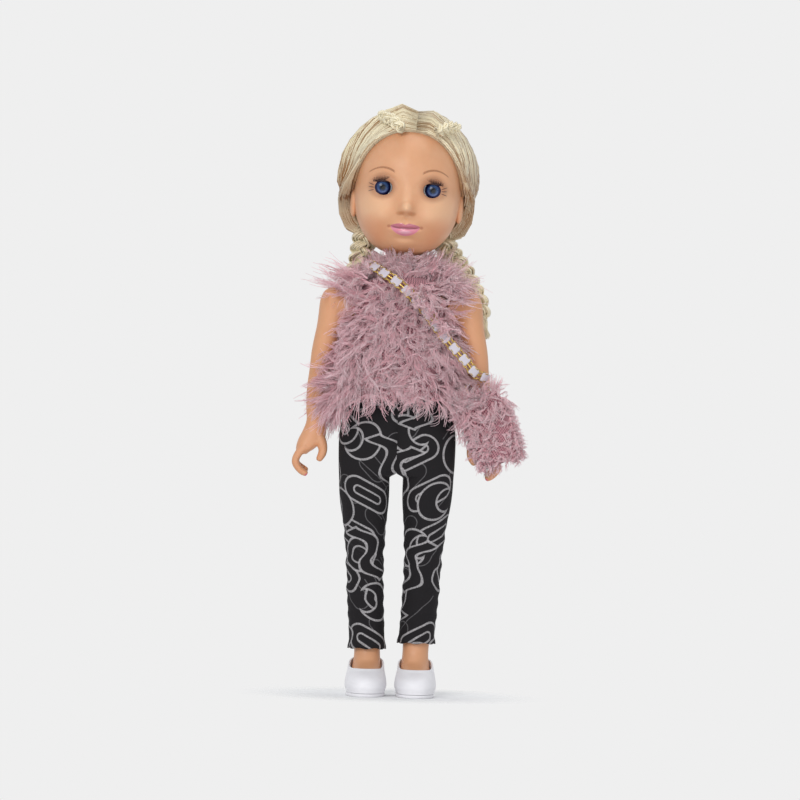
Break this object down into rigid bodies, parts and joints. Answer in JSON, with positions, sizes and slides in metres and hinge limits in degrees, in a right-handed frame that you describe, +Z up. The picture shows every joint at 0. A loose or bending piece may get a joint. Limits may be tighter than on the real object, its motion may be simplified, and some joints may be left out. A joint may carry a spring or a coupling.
{
  "type": "play doll",
  "caption": "Standing dressed fashion doll with turning head and limbs, sleep eyes, braided blonde hair, fluffy knit top, printed leggings, ballet shoes and a chain-strap bag.",
  "frame": {"origin": "on the ground, under the middle of the whole doll's box", "axes": "+Z up, the doll faces -Y, its left side is +X"},
  "size_m": [0.1759, 0.1082, 0.4568],
  "materials": {
    "hard_skin": "satin hard plastic, skin tone",
    "vinyl_skin": "soft satin vinyl, skin tone",
    "hair": "rooted blonde fibre with a silky sheen",
    "fluffy_knit": "long eyelash yarn, dusty pink",
    "hook_and_loop": "closure tape",
    "printed_jersey": "black jersey with pale grey line print",
    "elastic": "woven elastic",
    "white_vinyl": "smooth moulded vinyl, cool white",
    "eye_white": "polished",
    "inner_plastic": "plain moulding",
    "iris": "clear gloss over blue",
    "lashes": "dark fibre",
    "steel": "bare",
    "gold_metal": "polished gold plate",
    "chain_and_ribbon": "gold chain with white ribbon threaded through it"
  },
  "bodies": {
    "torso": {"torso_front": "hard_skin", "torso_back": "hard_skin", "knit_top": "fluffy_knit", "closure_hook_strip": "hook_and_loop", "closure_loop_strip": "hook_and_loop", "leggings_seat": "printed_jersey", "waist_elastic": "elastic", "bag_strap": "chain_and_ribbon"},
    "neck": {"neck_knob": "hard_skin"},
    "head": {"head_shell": "vinyl_skin", "hair_cap": "hair", "left_eye_cup": "inner_plastic", "left_crown_braid": "hair", "left_pigtail": "hair", "left_hair_tie": "elastic", "right_eye_cup": "inner_plastic", "right_crown_braid": "hair", "right_pigtail": "hair", "right_hair_tie": "elastic"},
    "bag": {"bag_pouch": "fluffy_knit", "bag_flap": "fluffy_knit", "bag_ring_front": "gold_metal", "bag_ring_back": "gold_metal"},
    "left_arm": {"left_arm": "vinyl_skin", "left_shoulder_plug": "inner_plastic"},
    "left_leg": {"left_leg": "vinyl_skin", "left_hip_plug": "inner_plastic", "left_legging": "printed_jersey", "left_shoe_upper": "white_vinyl", "left_shoe_sole": "white_vinyl"},
    "left_eye": {"left_eyeball": "eye_white", "left_iris": "iris", "left_upper_lashes": "lashes", "left_eye_weight": "steel"},
    "right_arm": {"right_arm": "vinyl_skin", "right_shoulder_plug": "inner_plastic"},
    "right_leg": {"right_leg": "vinyl_skin", "right_hip_plug": "inner_plastic", "right_legging": "printed_jersey", "right_shoe_upper": "white_vinyl", "right_shoe_sole": "white_vinyl"},
    "right_eye": {"right_eyeball": "eye_white", "right_iris": "iris", "right_upper_lashes": "lashes", "right_eye_weight": "steel"}
  },
  "joints": [
    {"name": "head_tilt", "type": "hinge", "parent": "torso", "child": "neck", "pos_m": [-0.01, -0.00207, 0.328], "axis": [0, 1, 0], "range_deg": [-10, 5.5], "deforming": ["left_pigtail", "left_hair_tie", "right_pigtail", "right_hair_tie"]},
    {"name": "head_turn", "type": "hinge", "parent": "neck", "child": "head", "pos_m": [-0.01, -0.00207, 0.328], "axis": [0.0401, 0, 0.9992], "range_deg": [-90, 90], "deforming": ["left_pigtail", "left_hair_tie", "right_pigtail", "right_hair_tie"]},
    {"name": "left_shoulder", "type": "hinge", "parent": "torso", "child": "left_arm", "pos_m": [0.02541, -0.00507, 0.30252], "axis": [-0.9976, 0, 0.0698], "continuous": true, "deforming": ["left_pigtail", "left_hair_tie", "bag_pouch", "bag_flap", "bag_ring_front", "bag_ring_back", "bag_strap"]},
    {"name": "left_hip", "type": "hinge", "parent": "torso", "child": "left_leg", "pos_m": [-0.0038, -0.00507, 0.19], "axis": [-1, 0, 0], "range_deg": [-20, 90], "deforming": ["leggings_seat"]},
    {"name": "left_eye_close", "type": "hinge", "parent": "head", "child": "left_eye", "pos_m": [0.01194, -0.03427, 0.39087], "axis": [0.9992, 0, -0.0401], "range_deg": [0, 68]},
    {"name": "right_shoulder", "type": "hinge", "parent": "torso", "child": "right_arm", "pos_m": [-0.04542, -0.00507, 0.30252], "axis": [-0.9976, 0, -0.0698], "continuous": true, "deforming": ["right_pigtail", "right_hair_tie"]},
    {"name": "right_hip", "type": "hinge", "parent": "torso", "child": "right_leg", "pos_m": [-0.0162, -0.00507, 0.19], "axis": [-1, 0, 0], "range_deg": [-20, 90], "deforming": ["leggings_seat"]},
    {"name": "right_eye_close", "type": "hinge", "parent": "head", "child": "right_eye", "pos_m": [-0.02683, -0.03427, 0.39243], "axis": [0.9992, 0, -0.0401], "range_deg": [0, 68]},
    {"name": "bag_swing", "type": "hinge", "parent": "torso", "child": "bag", "pos_m": [0.0505, -0.02747, 0.2424], "axis": [-1, 0, 0], "range_deg": [0, 60]}
  ]
}
